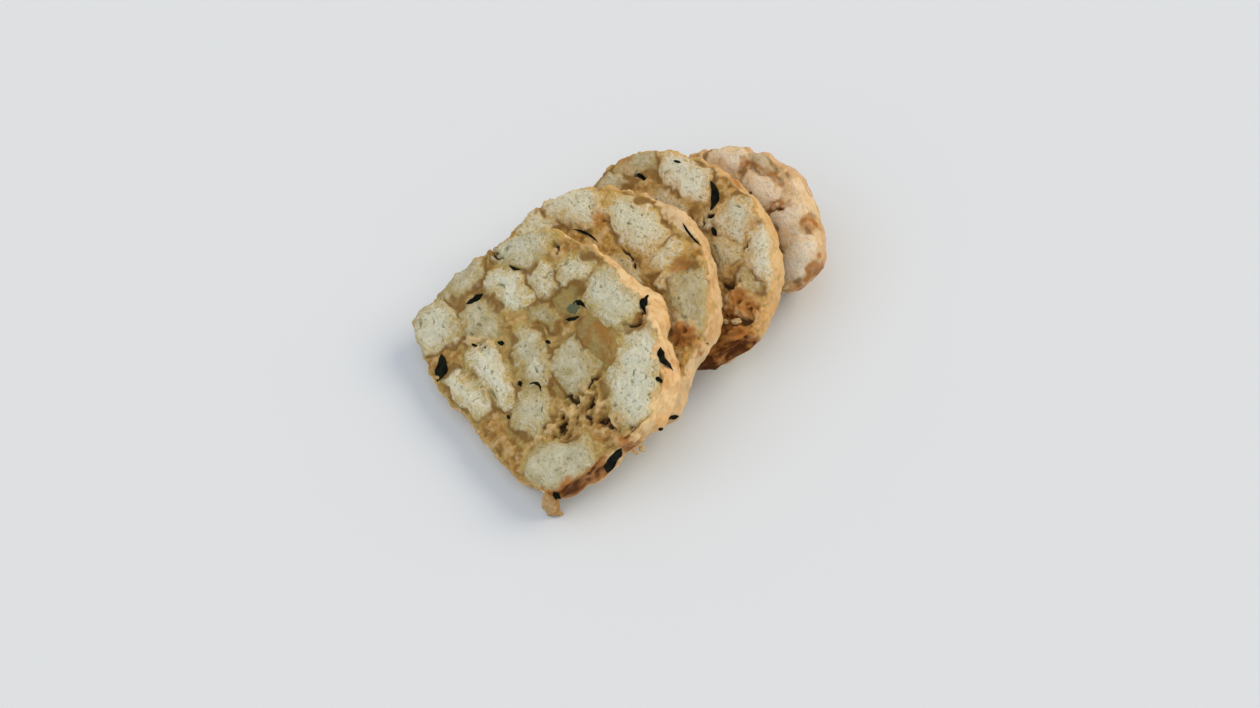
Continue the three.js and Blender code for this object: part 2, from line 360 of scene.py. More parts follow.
def brown_bread(bread, browned):
    """Browns some patches in slanting streaks, most at the slice's edges and not on its back."""
    along, over = turned_offsets(bread.place, 0, 0, STREAK_TURN)
    drawn_out = np.stack([along / STREAK_STRETCH, over, bread.place[:, 2]], axis=1)
    bread.streaks = waves(drawn_out, 1.8, 23)
    bread.toast = soft_patches(browned, bread.uneven, sharpness=2) * (0.55 + 0.45 * bread.edge)
    bread.toast *= 1 + 0.6 * bread.streaks
    bread.toast *= smooth_step(*BROWNING_BEGINS, bread.facing)


def paint(piece, name, layer):
    """Paints a layer on a piece's vertices, for its material to follow."""
    values = piece.data.attributes.new(name, "FLOAT", "POINT").data
    values.foreach_set("value", layer.astype(np.float32))


def paint_bread(piece, bread):
    """Paints all that the boiled bread's coats follow."""
    place = bread.place
    layers = {
        "inside": bread.inside + 2.4 * waves(place, 5, 16) + 1.2 * waves(place, 1.6, 17),
        "tone": bread.tone * (1.1 + 0.5 * waves(place, 4, 19) + 0.3 * waves(place, 1.5, 21)),
        "pores": bread.pores * bread.cut,
        "threads": bread.threads * bread.cut,
        "seam": bread.seam * bread.cut,
        # The lumps' height, which the binder's painted shade and painted highlight follow.
        "lumps": bread.lumps,
        # The tops of the lumps in torn places, where a painted highlight goes.
        "crags": -bread.crags * bread.lumps,
        # Hollows and slits, painted dark with their shade.
        "hollow": bread.hollow,
        "skin": bread.skin,
        "edge": bread.edge,
        "brink": 4 * bread.skin * (1 - bread.skin),
        "toast": bread.toast,
    }
    for name, layer in layers.items():
        paint(piece, name, layer)


# Relief of the bread, in millimetres.
PORE_DEPTH = 0.5
THREAD_HEIGHT = 0.22
FIBRE_SWELL = 0.35
BINDER_DROP = 0.45
SEAM_DEPTH = 0.25
LUMP_SIZE = 0.8
BUBBLE_DEPTH = 0.5
WRINKLE_SIZE = 0.75
LEFT_WRINKLE_MORE = 0.45
CRAG_SIZE = 1.3
STREAK_SIZE = 0.8
HOLLOW_DEPTH = 2
# The wrinkles have grown to the left side's size this far left of the cut's middle.
LEFT_BY = -30


def crumb_relief(bread, coarse):
    """How deep the cut's crumb and binder lie, in millimetres."""
    swell = waves(bread.fibre, 2.2, 8)
    crumb = PORE_DEPTH * bread.pores - THREAD_HEIGHT * bread.threads + FIBRE_SWELL * swell
    drop = BINDER_DROP * (1 - smooth_step(*BINDER_ENDS, bread.inside)) + SEAM_DEPTH * bread.seam
    bubbles = holes(bread.place, spacing=2.1, widest=0.34, layer=22)
    depth = coarse * bread.cut * crumb
    depth += bread.cut * drop
    depth += bread.cut * (1 - bread.crumb) * (LUMP_SIZE * bread.lumps + BUBBLE_DEPTH * bubbles)
    return depth


def rough_relief(bread):
    """How deep wrinkles, torn crags, browned streaks and hollows lie, in millimetres."""
    place = bread.place
    wrinkles = waves(place, 9, 24) + waves(place, 4, 13) + 0.5 * waves(place, 1.6, 14)
    left = smooth_step(0, LEFT_BY, place[:, 0])
    rind = np.maximum(bread.edge, 0.7 * bread.skin)
    depth = (WRINKLE_SIZE + LEFT_WRINKLE_MORE * left) * rind * wrinkles
    depth += CRAG_SIZE * bread.crags * bread.lumps
    depth += STREAK_SIZE * bread.toast * bread.streaks
    depth += HOLLOW_DEPTH * bread.hollow
    return depth


# The least depth pressed each way, in millimetres. It cancels out, and keeps some weight above 0.
LEAST_PRESS = 0.001


def press(piece, depth):
    """Moves each vertex in along its normal by a depth in millimetres, or out where that is less than 0."""
    for way in (1, -1):
        part = np.clip(way * depth, LEAST_PRESS, None)
        group = piece.vertex_groups.new(name="pressed")
        for number, weight in enumerate((part / part.max()).tolist()):
            group.add([number], weight, "REPLACE")
        strength = -way * float(part.max()) * MM
        apply_modifier(piece, "DISPLACE", vertex_group="pressed", strength=strength, mid_level=0)
        piece.vertex_groups.clear()


FLOOR_CLEARANCE = 0.02 * MM


def settle(piece):
    """Presses flat what would reach into the floor."""
    count = len(piece.data.vertices)
    place = np.empty(count * 3)
    piece.data.vertices.foreach_get("co", place)
    place[2::3] = np.maximum(place[2::3], FLOOR_CLEARANCE)
    piece.data.vertices.foreach_set("co", place)
    piece.data.update()


def finish_slice(piece, pose, cubes, back_cubes, torn_places, slits, browned, lapped, bulges, coarse):
    """Paints where crumb, binder, skin and browning are, and presses the bread's relief into the piece."""
    bread = read_bread(piece, pose)
    set_cubes(bread, cubes, back_cubes)
    grow_skin(bread, lapped, bool(back_cubes))
    open_crumb(bread)
    tear_cut(bread, torn_places, slits)
    brown_bread(bread, browned)
    paint_bread(piece, bread)
    if bulges:
        press(piece, -swelling(bulges, bread.place) * (1 - smooth_step(*BULGES_END, bread.facing)))
    press(piece, crumb_relief(bread, coarse) + rough_relief(bread))
    settle(piece)


# The grid of cubes in a back: their spacing, the lowest row, how far they stray from the grid, and their
# sizes and browning.
CUBE_PITCH_ACROSS = 15
CUBE_PITCH_UP = 14
LOWEST_CUBE = 5
CUBE_STRAY = 3
CUBE_HALF_WIDTHS = (6, 10)
CUBE_HALF_HEIGHTS = (5, 8)
CUBE_TONES = (0, 0.1, 0.2, 0.5)


def scattered_cubes(seed, width, height):
    """Cubes on a loose grid, for a face that doesn't show in front."""
    draw = random.Random(seed)
    cubes = []
    for row in range(int(height / CUBE_PITCH_UP) + 1):
        for column in range(int(width / CUBE_PITCH_ACROSS) + 1):
            across = column * CUBE_PITCH_ACROSS - width / 2 + draw.uniform(-CUBE_STRAY, CUBE_STRAY)
            up = row * CUBE_PITCH_UP + LOWEST_CUBE + draw.uniform(-CUBE_STRAY, CUBE_STRAY)
            half_width = draw.uniform(*CUBE_HALF_WIDTHS)
            half_height = draw.uniform(*CUBE_HALF_HEIGHTS)
            turn = draw.uniform(0, 180)
            cubes.append((across, up, half_width, half_height, turn, draw.choice(CUBE_TONES)))
    return cubes


def linear(code):
    """An sRGB hex colour as linear RGBA."""
    parts = [int(code[i:i + 2], 16) / 255 for i in (1, 3, 5)]
    return [p / 12.92 if p <= 0.04045 else ((p + 0.055) / 1.055) ** 2.4 for p in parts] + [1]


def add_node(material, kind, inputs, **settings):
    """Adds a node with its settings. Inputs go by a socket's name or number, and are values or links."""
    node = material.node_tree.nodes.new(kind)
    for name, value in settings.items():
        setattr(node, name, value)
    for key, value in inputs.items():
        if isinstance(value, bpy.types.NodeSocket):
            material.node_tree.links.new(value, node.inputs[key])
        else:
            node.inputs[key].default_value = value
    return node


# The sockets of a mix of two colours: its share, the colour below, the colour over it, and the result.
MIX_SHARE = 0
MIX_BELOW = 6
MIX_OVER = 7
MIX_RESULT = 2
# Layers painted on each slice.
PAINTED = (
    "inside", "tone", "pores", "threads", "seam", "lumps",
    "crags", "hollow", "skin", "edge", "brink", "toast",
)
# Cloudy patches in the bread: their size in millimetres.
CLOUDS = {"wide clouds": 9, "middle clouds": 3.5, "small clouds": 1.4, "fine grain": 0.6}
# Round pores too fine for the mesh, painted dark with their shade: their spacing in millimetres.
POCKS = {"fine pores": 1.7, "finest pores": 1}
# How far the pores' outlines wander, and over which length, in millimetres.
POCK_WANDER = 1.8
POCK_WAVE = 1.1
# Coats of colour in the order in which they go on: what is coated, what the coat follows, the values of that
# between which it comes in, how much of it shows at most, and its colour, by code or by a slice's own name
# for it, or else the stuff that it is made of.
COATS = (
    # The cubes' crumb: pale middles, painted highlight on threads, light grain, golden cubes, crusts,
    # painted pore shade.
    ("crumb", "inside", -1.2, 7, 1, "cube middle"),
    # Painted highlight on the raised threads.
    ("crumb", "threads", 0.1, 0.9, 0.45, "#e4e3d4"),
    ("crumb", "fine grain", 0.52, 0.66, 0.32, "#e2e0cf"),
    ("crumb", "tone", 0, 0.7, 0.92, "#9a864b"),
    ("crumb", "tone", 0.75, 1.3, 0.8, "#9a6b2e"),
    # Painted shade in the pores: those too fine for the mesh, and those pressed into it.
    ("crumb", "fine pores", 0.34, 0.14, 0.55, "#7f7a54"),
    ("crumb", "finest pores", 0.32, 0.12, 0.3, "#8b865f"),
    ("crumb", "pores", 0.05, 0.6, 0.75, "#746f4d"),
    # The binder: dark, orange and light clouds, specks, painted shade in lump valleys, painted highlight on
    # lump tops.
    ("bread", "middle clouds", 0.46, 0.62, 0.7, "dark binder"),
    ("bread", "wide clouds", 0.46, 0.62, 0.6, "#aa783a"),
    ("bread", "small clouds", 0.48, 0.36, 0.5, "#ccb47c"),
    ("bread", "fine pores", 0.3, 0.15, 0.5, "#7a5426"),
    # Painted shade in the lumps' valleys, then painted highlight on their tops.
    ("bread", "lumps", 0.02, 0.5, 0.65, "#82602f"),
    ("bread", "lumps", -0.05, -0.5, 0.65, "#cdb081"),
    # The cubes in the binder, then seams, painted highlight on crag tops, dark grain, the cut's rim, painted
    # shade in deep hollows.
    ("bread", "inside", -4, 1, 1, "crumb"),
    ("bread", "seam", 0.05, 0.9, 0.8, "#7b5728"),
    # Painted highlight on the tops of the crags' lumps.
    ("bread", "crags", 0.03, 0.25, 0.85, "#d6b985"),
    ("bread", "fine grain", 0.46, 0.34, 0.2, "#6d5530"),
    ("bread", "edge", 0.2, 1, 0.45, "rim"),
    # Painted shade in the deep hollows and slits.
    ("bread", "hollow", 0.25, 0.85, 0.95, "#3a2413"),
    # The skin: golden clouds, scars and painted crease shade along the lumps. It goes over the bread, darker
    # at its brink.
    ("skin", "wide clouds", 0.46, 0.66, 0.7, "golden skin"),
    ("skin", "middle clouds", 0.52, 0.66, 0.38, "#c48d4c"),
    # Painted crease shade.
    ("skin", "lumps", 0.1, 0.55, 0.34, "#b98a4e"),
    ("bread", "skin", 0.1, 0.8, 1, "skin"),
    ("bread", "brink", 0.3, 1, 0.32, "#b98b4b"),
    # Browned places, and burnt ones.
    ("bread", "toast", 0.1, 0.6, 0.9, "#ac7136"),
    ("bread", "toast", 0.5, 1.5, 0.95, "#572c09"),
)
CRUMB_ROUGHNESS = 0.85
SKIN_ROUGHNESS = 0.5
GRAIN_HEIGHT = 0.2 * MM
# How far light goes into moist bread.
GLOW_DEPTH = 1.2 * MM


def bread_patterns(material):
    """What the coats follow: the painted layers, clouds, and the pores that are too fine for the mesh."""
    place = add_node(material, "ShaderNodeTexCoord", {}).outputs["Object"]
    patterns = {}
    for layer in PAINTED:
        patterns[layer] = add_node(material, "ShaderNodeAttribute", {}, attribute_name=layer).outputs["Fac"]
    for layer, size in CLOUDS.items():
        inputs = {"Vector": place, "Scale": 1 / (size * MM), "Detail": 4}
        patterns[layer] = add_node(material, "ShaderNodeTexNoise", inputs).outputs["Fac"]
    inputs = {"Vector": place, "Scale": 1 / (POCK_WAVE * MM), "Detail": 1}
    wander = add_node(material, "ShaderNodeTexNoise", inputs).outputs["Color"]
    inputs = {0: wander, 1: [POCK_WANDER * MM] * 3, 2: place}
    wandered = add_node(material, "ShaderNodeVectorMath", inputs, operation="MULTIPLY_ADD").outputs[0]
    for layer, size in POCKS.items():
        inputs = {"Vector": wandered, "Scale": 1 / (size * MM)}
        patterns[layer] = add_node(material, "ShaderNodeTexVoronoi", inputs).outputs["Distance"]
    return patterns


def bread_colour(material, patterns, pitted, colours):
    """Puts the coats on one after another, and gives the colour that shows in the end."""
    stuff = {
        "crumb": linear(colours["cube edge"]),
        "bread": linear(colours["binder"]),
        "skin": linear(colours["pale skin"]),
    }
    for coated, follows, low, high, most, colour in COATS:
        # Pitted sets how strongly the painted pore shade shows.
        if coated == "crumb" and follows.endswith("pores"):
            most *= pitted
        inputs = {"Value": patterns[follows], "From Min": low, "From Max": high, "To Max": most}
        share = add_node(material, "ShaderNodeMapRange", inputs, interpolation_type="SMOOTHSTEP")
        coat = stuff[colour] if colour in stuff else linear(colours.get(colour, colour))
        inputs = {MIX_SHARE: share.outputs["Result"], MIX_BELOW: stuff[coated], MIX_OVER: coat}
        mixed = add_node(material, "ShaderNodeMix", inputs, data_type="RGBA")
        stuff[coated] = mixed.outputs[MIX_RESULT]
    return stuff["bread"]


def boiled_bread(name, pitted, colours):
    """Moist boiled bread: matt pale crumb, its open pores painted dark with shade, a tan binder and a
    faintly glossy cooked skin.
    """
    material = bpy.data.materials.new(name)
    material.use_nodes = True
    shader = material.node_tree.nodes["Principled BSDF"]
    links = material.node_tree.links
    patterns = bread_patterns(material)
    links.new(bread_colour(material, patterns, pitted, colours), shader.inputs["Base Color"])
    inputs = {"Value": patterns["skin"], "To Min": CRUMB_ROUGHNESS, "To Max": SKIN_ROUGHNESS}
    roughness = add_node(material, "ShaderNodeMapRange", inputs)
    links.new(roughness.outputs["Result"], shader.inputs["Roughness"])
    inputs = {"Strength": 0.5, "Distance": GRAIN_HEIGHT, "Height": patterns["fine grain"]}
    bump = add_node(material, "ShaderNodeBump", inputs)
    links.new(bump.outputs["Normal"], shader.inputs["Normal"])
    shader.inputs["Specular IOR Level"].default_value = 0.12
    shader.inputs["Subsurface Weight"].default_value = 0.1
    shader.inputs["Subsurface Radius"].default_value = (1.0, 0.6, 0.3)
    shader.inputs["Subsurface Scale"].default_value = GLOW_DEPTH
    return material


front_pose = cut_pose(FRONT_AT, FRONT_TURN, FRONT_LEAN)
front_slice = slice_copy("slice_1", "front_slice", front_pose)
finish_slice(
    front_slice,
    front_pose,
    cubes=FRONT_CUBES,
    back_cubes=scattered_cubes(FRONT_BACK_SEED, FRONT_WIDTH, FRONT_HEIGHT),
    torn_places=FRONT_TORN,
    slits=FRONT_SLITS,
    browned=FRONT_BROWNED,
    lapped=FRONT_LAPPED,
    bulges=FRONT_BULGES,
    coarse=FRONT_COARSE,
)
front_slice.data.materials.append(boiled_bread("boiled bread, front slice", FRONT_PITTED, FRONT_COLOURS))
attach(front_slice, "root")
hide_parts("slice_1")

# The second slice comes from the same loaf: white bread cubes in a tan binder, inside a boiled skin. It
# leans back on the third one. Its cut face shows above the front slice, browned and torn at the right.

SECOND_AT = (-41.1, 5.7, 9.8)
SECOND_TURN = -1.4
SECOND_LEAN = 61.5
SECOND_WIDTH = 88
SECOND_HEIGHT = 69
SECOND_BACK_SEED = 5
SECOND_COARSE = 0.85
SECOND_PITTED = 1.05
SECOND_COLOURS = {
    "cube middle": "#d8d2b0", "cube edge": "#c9a458", "binder": "#bd944a", "dark binder": "#956a28",
    "pale skin": "#dec294", "golden skin": "#d4aa72", "rim": "#cdaa66",
}
SECOND_CUBES = [
    (-35, 44.5, 13.5, 9, 32, 0.1), (-10, 56, 14.2, 8, 3, 0.06), (6, 56.5, 4.4, 7, 8, 0.1),
    (25, 51.8, 13, 8.6, -30, 0.35), (12.5, 50, 3.6, 2.6, 0, 0), (-38, 33, 7, 8, 0, 0.1),
    (0, 40, 10, 7, 10, 0.2),
]
SECOND_TORN = [(32, 43, 6, 4, -20)]
SECOND_SLITS = [
    (-4.8, 47.6, 3.4, 0.5, -12), (0.2, 46.6, 1.8, 0.5, -20), (38, 46.8, 1.4, 0.7, 20),
    (-20, 49.5, 1.5, 0.6, 40),
]
SECOND_BROWNED = [
    (-22, 48.5, 4, 3.5, 0.75), (12.5, 57.5, 2.4, 4, 0.75), (32.4, 43, 4.8, 4.6, 1.3),
    (24, 45.5, 5, 2, 0.5),
]
SECOND_LAPPED = [
    (-4, 67.5, 18, 4, 2), (26, 62, 9, 3.2, 1.4), (38, 54, 6, 4.5, 1), (43, 43, 4, 9, 0.95),
    (45, 30, 5, 8, 1),
]

second_pose = cut_pose(SECOND_AT, SECOND_TURN, SECOND_LEAN)
second_slice = slice_copy("slice_2", "second_slice", second_pose)
finish_slice(
    second_slice,
    second_pose,
    cubes=SECOND_CUBES,
    back_cubes=scattered_cubes(SECOND_BACK_SEED, SECOND_WIDTH, SECOND_HEIGHT),
    torn_places=SECOND_TORN,
    slits=SECOND_SLITS,
    browned=SECOND_BROWNED,
    lapped=SECOND_LAPPED,
    bulges=[],
    coarse=SECOND_COARSE,
)
second_slice.data.materials.append(boiled_bread("boiled bread, second slice", SECOND_PITTED, SECOND_COLOURS))
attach(second_slice, "root")
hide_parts("slice_2")

# The third slice, of the same bread, leans back on the heel. Its lower right side is browned dark, torn and
# dented, and there the crumb shows under the skin.

THIRD_AT = (-7.8, 6.9, 9.3)
THIRD_TURN = 1.4
THIRD_LEAN = 57.5
THIRD_WIDTH = 83
THIRD_HEIGHT = 60
THIRD_BACK_SEED = 7
THIRD_COARSE = 0.75
THIRD_PITTED = 1
THIRD_COLOURS = {
    "cube middle": "#d6d0b2", "cube edge": "#cba560", "binder": "#c19754", "dark binder": "#996d32",
    "pale skin": "#dbbc87", "golden skin": "#d4a260", "rim": "#cfa963",
}
THIRD_CUBES = [
    (-15, 49.8, 12, 7.2, 0, 0.06), (10.8, 51.5, 7.5, 7.6, 0, 0.12), (27.5, 49.5, 13.5, 6.6, -38, 0.06),
    (15, 41, 6.6, 4.8, -8, 0.25), (-33, 42, 5.5, 7.5, -30, 0.35), (3, 45, 4, 4, 0, 0.25),
    (30, 40, 5, 4, -30, 0.25), (-34, 31, 6, 5, 0, 0.3), (-12, 38, 9, 6, 5, 0.2),
]
THIRD_TORN = [(32, 28, 6, 6.5, 0), (28, 35, 5, 2.5, -20), (38.5, 33.5, 5, 1.6, 40)]
THIRD_SLITS = [
    (35, 26.6, 8, 1.3, 44), (30, 20.5, 3, 1.3, 60), (24, 33.5, 1.8, 1, 30), (19.5, 48, 0.6, 2.4, 0),
    (2.5, 46.3, 0.5, 1.8, 10), (2, 43, 0.5, 1.5, 0), (-28.5, 40, 2, 0.8, 20),
]
THIRD_BROWNED = [
    (38.5, 21, 7, 8, 1.8), (35, 11, 6, 5, 2), (33, 33, 7, 5, 0.85), (31, 27, 5, 6, 1),
    (0.6, 60, 4, 2.4, 0.45), (-14, 59.5, 7, 2, 0.3), (17, 54, 2.2, 3, 0.5), (-35.5, 39.5, 5, 3.5, 0.6),
    (46.5, 29, 3, 6, 0.6),
]
THIRD_LAPPED = [(-6, 61, 15, 3.6, 1.8), (20, 58, 8, 3, 1.1), (33, 52, 6, 4, 0.95), (40, 43, 4, 7, 0.8)]
THIRD_BULGES = [(46, 17, -8, 6, 8, 9, -4.4)]

third_pose = cut_pose(THIRD_AT, THIRD_TURN, THIRD_LEAN)
third_slice = slice_copy("slice_3", "third_slice", third_pose)
finish_slice(
    third_slice,
    third_pose,
    cubes=THIRD_CUBES,
    back_cubes=scattered_cubes(THIRD_BACK_SEED, THIRD_WIDTH, THIRD_HEIGHT),
    torn_places=THIRD_TORN,
    slits=THIRD_SLITS,
    browned=THIRD_BROWNED,
    lapped=THIRD_LAPPED,
    bulges=THIRD_BULGES,
    coarse=THIRD_COARSE,
)
third_slice.data.materials.append(boiled_bread("boiled bread, third slice", THIRD_PITTED, THIRD_COLOURS))
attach(third_slice, "root")
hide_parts("slice_3")

# The heel is the round end of the loaf, of the same bread, with skin all over the back that it lies on. Its
# cut is paler and smoother than the slices', with thin browned lines between the cubes.

HEEL_AT = (30.75, 4, 8)
HEEL_TURN = 8.1
HEEL_LEAN = 41.8
HEEL_COARSE = 0.5
HEEL_PITTED = 0.5
HEEL_COLOURS = {
    "cube middle": "#f0dfc2", "cube edge": "#e8c591", "binder": "#ddb27a", "dark binder": "#cb985a",
    "pale skin": "#d4b48c", "golden skin": "#c28c56", "rim": "#d8bc90",
}
HEEL_CUBES = [
    (1.5, 33.3, 8.5, 6, -4, 0), (14.2, 31, 6.8, 7, 20, 0.08), (26.2, 22, 6.6, 9.6, 12, 0.08),
    (-15, 35.5, 8, 5, 25, 0.1), (-4, 40.8, 6, 2.4, 0, 0.3), (15, 40.5, 7, 3.6, -25, 0),
    (10, 20, 8, 6, 0, 0.1), (-16, 24, 8, 7, 10, 0.1),
]
HEEL_TORN = [(-9, 37.5, 1.6, 1.6, 0)]
HEEL_SLITS = [(-3, 29.2, 1.8, 0.6, -15), (10.5, 31, 0.6, 3.5, -35)]
HEEL_BROWNED = [
    (-9, 38.4, 2.2, 2.2, 0.85), (-4, 39, 3.4, 1.6, 0.75), (1, 39.2, 3.4, 1.6, 0.75),
    (5.5, 38.2, 3, 1.6, 0.75), (6, 27.5, 2.6, 2.4, 1), (8.5, 30.2, 2.2, 2.4, 0.85),
    (11, 33, 2.2, 2.4, 0.8), (13.5, 35.4, 2.4, 2, 0.7), (-8.5, 34, 1.8, 3, 0.55), (20, 28, 1.8, 3, 0.45),
    (21.5, 33.5, 3, 3, 0.7), (25, 35, 3, 2, 0.6), (33.5, 27, 2.8, 4, 0.65), (32.8, 22, 3, 6, 0.72),
    (31.5, 13, 3, 3, 0.5),
]
HEEL_LAPPED = [(-2, 43, 10, 2, 0.9), (34, 20, 3, 8, 0.8), (22, 37, 15, 10, -0.8)]
HEEL_BULGES = [
    (-9, 42, -3, 2.2, 3, 5, -1.6), (21, 37, -3, 3, 3, 6, -1), (27, 9, -6, 3, 4, 8, -1.6),
    (32, 26, -4, 4, 5, 7, 1.2),
]

heel_pose = cut_pose(HEEL_AT, HEEL_TURN, HEEL_LEAN)
heel = slice_copy("heel", "loaf_heel", heel_pose)
finish_slice(
    heel,
    heel_pose,
    cubes=HEEL_CUBES,
    back_cubes=[],
    torn_places=HEEL_TORN,
    slits=HEEL_SLITS,
    browned=HEEL_BROWNED,
    lapped=HEEL_LAPPED,
    bulges=HEEL_BULGES,
    coarse=HEEL_COARSE,
)
heel.data.materials.append(boiled_bread("boiled bread, heel", HEEL_PITTED, HEEL_COLOURS))
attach(heel, "root")
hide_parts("heel")

# The herb flakes are bits of parsley leaf and stalk, cooked dark, that lie flat in the cut faces and the
# skin. Each is a thin wavy solid that follows the bread under it.

# Flakes in a cut face: across, up, length, width, turn and bend. In a slice's right side the first number is
# the depth behind the cut instead.
FRONT_FLAKES = [
    (-33.3, 25.8, 6.4, 2.2, 78, 0.05), (-22.8, 3.4, 9.5, 3.4, -45, -0.12), (-4.4, 50.2, 6.2, 1.7, 52, -0.42),
    (-2.4, 46.2, 5.2, 1.4, 50, 0.1), (-31.5, 42.2, 5, 0.9, 22, 0.1), (2.6, 20.4, 2.2, 1.3, -20, 0),
    (7.8, 24.3, 5, 0.8, 16, -0.3), (-2, 35.6, 2.4, 1, 20, 0), (8.6, 10.9, 1.8, 1.1, 0, 0),
    (-14, 23.6, 2.8, 1.2, 35, 0), (30.2, 60.2, 6.4, 2.1, -20, 0.1), (35.7, 54.8, 1.8, 1.4, 0, 0),
    (11.2, 66.6, 6.8, 1.7, -42, 0.08), (41, 7.6, 2.6, 2, 20, 0), (-20, 16.5, 2, 0.8, 30, 0),
]
FRONT_PALE_FLAKES = [(-4.6, 48.6, 4.6, 3.6, 52, 0)]
FRONT_SIDE_FLAKES = [(7.2, 27.4, 9.6, 5.4, -64, 0.1), (9.7, 44.7, 2.2, 1.2, 20, 0)]
SECOND_FLAKES = [(-21, 41.9, 11.5, 0.8, 16, -0.08), (7, 66.6, 11, 0.9, -4, 0.05), (38, 47, 2, 1, 30, 0)]
SECOND_SIDE_FLAKES = [(7.2, 22.6, 5, 1.9, 50, 0)]
THIRD_FLAKES = [
    (-2, 51.9, 10.5, 2.4, -44, -0.15), (7.5, 43.5, 3.6, 1.8, -20, 0), (2.4, 46.4, 2.8, 0.8, 80, 0),
    (-28.2, 40.2, 3, 1.3, 20, 0), (-20.5, 52, 3, 0.9, 25, 0),
]
HEEL_FLAKES = [(-3, 29.3, 3, 0.9, -15, 0)]
# Points along and across a flake.
FLAKE_STATIONS = 11
FLAKE_LANES = 5
FLAKE_POINTS = FLAKE_STATIONS * FLAKE_LANES
# How far a flake stands out of the bread, how far it reaches in, and from where it is dropped, in
# millimetres.
FLAKE_PROUD = 0.15
FLAKE_SUNK = 0.6
CAST_FROM = 150
# How blunt a flake's outline is, and how much of its width is left at the tips.
FLAKE_BLUNTNESS = 2.5
FLAKE_TIP = 0.05
# Turns a cut face's frame to look at the slice's right side.
RIGHT_SIDE = Matrix(((0, 0, 1, 0), (0, 1, 0, 0), (-1, 0, 0, 0), (0, 0, 0, 1)))


def flake_shape(across, up, length, width, turn, bend):
    """The flake's grid of points in its plane: a leaf outline, bent and a little uneven."""
    c = math.cos(math.radians(turn))
    s = math.sin(math.radians(turn))
    points = []
    for station in range(FLAKE_STATIONS):
        share = 2 * station / (FLAKE_STATIONS - 1) - 1
        uneven = 1 + 0.5 * noise.noise(Vector((across + 2 * share, up, 0)))
        half = width / 2 * uneven * max(1 - abs(share) ** FLAKE_BLUNTNESS, FLAKE_TIP)
        middle = bend * length * (share * share - 0.4)
        along = share * length / 2
        for lane in range(FLAKE_LANES):
            side = 2 * lane / (FLAKE_LANES - 1) - 1
            over = middle + side * half
            points.append((across + c * along - s * over, up + s * along + c * over))
    return points


def flake_depths(target, view, points):
    """How far below the view each point meets the target, evened out so that the flake lies smooth."""
    direction = (view.to_3x3() @ Vector((0, 0, -1))).normalized()
    depths = []
    for right, above in points:
        start = view @ Vector((right, above, CAST_FROM))
        hit, spot, _, _ = target.ray_cast(start, direction)
        depths.append((spot - start).length / MM if hit else np.nan)
    grid = np.array(depths).reshape(FLAKE_STATIONS, FLAKE_LANES)
    padded = np.pad(grid, 1, mode="edge")
    around = [padded[i:i + FLAKE_STATIONS, j:j + FLAKE_LANES] for i in range(3) for j in range(3)]
    return np.nanmin(around, axis=0).ravel()


def flake_faces(start):
    """The faces of a flake whose points begin at a number: its top, its underside and its rim."""
    faces = []
    for station in range(FLAKE_STATIONS - 1):
        for lane in range(FLAKE_LANES - 1):
            corner = start + station * FLAKE_LANES + lane
            top = (corner, corner + FLAKE_LANES, corner + FLAKE_LANES + 1, corner + 1)
            faces.append(top)
            faces.append(tuple(c + FLAKE_POINTS for c in reversed(top)))
    rim = [start + lane for lane in range(FLAKE_LANES)]
    rim += [start + station * FLAKE_LANES + FLAKE_LANES - 1 for station in range(1, FLAKE_STATIONS)]
    rim += [start + FLAKE_POINTS - 1 - lane for lane in range(1, FLAKE_LANES)]
    rim += [start + station * FLAKE_LANES for station in range(FLAKE_STATIONS - 2, 0, -1)]
    for here, after in zip(rim, rim[1:] + rim[:1]):
        faces.append((here, after, after + FLAKE_POINTS, here + FLAKE_POINTS))
    return faces


def lay_flakes(leaves, target, view, flakes, paleness):
    """Adds a thin solid to the leaves for each flake on the target. The view looks along its own -Z."""
    for flake in flakes:
        points = flake_shape(*flake)
        depths = flake_depths(target, view, points)
        leaves.faces += flake_faces(len(leaves.vertices))
        leaves.paleness += [paleness] * 2 * FLAKE_POINTS
        for lift in (FLAKE_PROUD, -FLAKE_SUNK):
            for (right, above), depth in zip(points, depths):
                leaves.vertices.append(view @ Vector((right, above, CAST_FROM - depth + lift)))


def clouded(name, cloud_size, light_range, dark, light, layer, over, roughness, specular):
    """Two colours in clouds of a size in millimetres, and a third colour where a painted layer says."""
    material = bpy.data.materials.new(name)
    material.use_nodes = True
    shader = material.node_tree.nodes["Principled BSDF"]
    place = add_node(material, "ShaderNodeTexCoord", {}).outputs["Object"]
    inputs = {"Vector": place, "Scale": 1 / (cloud_size * MM)}
    clouds = add_node(material, "ShaderNodeTexNoise", inputs).outputs["Fac"]
    inputs = {"Value": clouds, "From Min": light_range[0], "From Max": light_range[1]}
    share = add_node(material, "ShaderNodeMapRange", inputs).outputs["Result"]
    inputs = {MIX_SHARE: share, MIX_BELOW: linear(dark), MIX_OVER: linear(light)}
    mixed = add_node(material, "ShaderNodeMix", inputs, data_type="RGBA").outputs[MIX_RESULT]
    painted = add_node(material, "ShaderNodeAttribute", {}, attribute_name=layer).outputs["Fac"]
    inputs = {MIX_SHARE: painted, MIX_BELOW: mixed, MIX_OVER: linear(over)}
    colour = add_node(material, "ShaderNodeMix", inputs, data_type="RGBA").outputs[MIX_RESULT]
    material.node_tree.links.new(colour, shader.inputs["Base Color"])
    shader.inputs["Roughness"].default_value = roughness
    shader.inputs["Specular IOR Level"].default_value = specular
    return material


